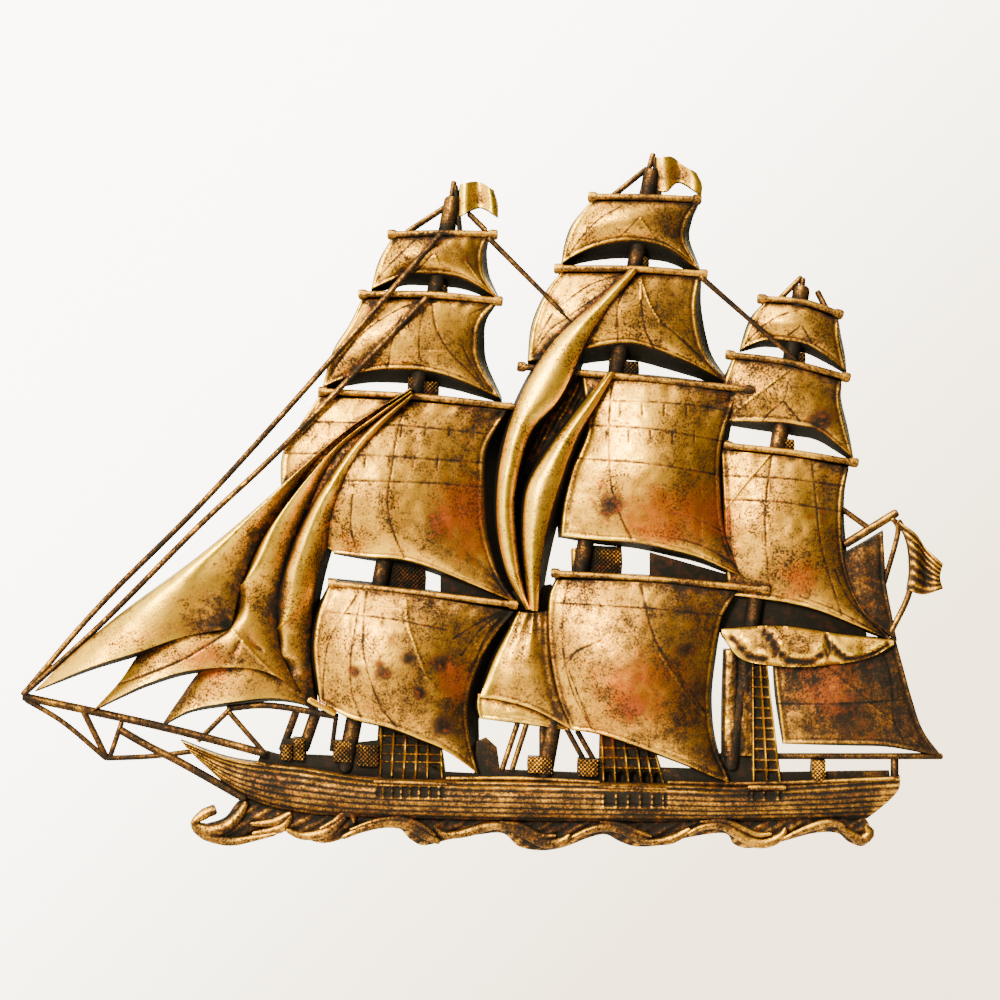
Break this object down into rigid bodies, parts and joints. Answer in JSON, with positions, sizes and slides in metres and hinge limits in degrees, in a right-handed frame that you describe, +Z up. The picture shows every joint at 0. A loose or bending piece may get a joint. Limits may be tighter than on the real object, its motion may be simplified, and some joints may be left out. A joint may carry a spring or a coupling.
{
  "type": "decorative wall plaque",
  "caption": "Openwork relief wall plaque of a full-rigged clipper ship under sail, moulded in one piece with a flat back and keyhole slots, in antiqued gold.",
  "frame": {"origin": "on the flat back, at the height of the nail seats of the two keyhole slots and midway between them", "axes": "+Y into the wall, away from the relief; -Y is the front that the viewer sees; +X along the ship from bow to stern; +Z up"},
  "size_m": [0.6594, 0.0392, 0.4994],
  "materials": {
    "antiqued_gold": "rubbed gold over dark brown, satin"
  },
  "bodies": {
    "root": {"ship_plaque": "antiqued_gold"}
  },
  "joints": []
}
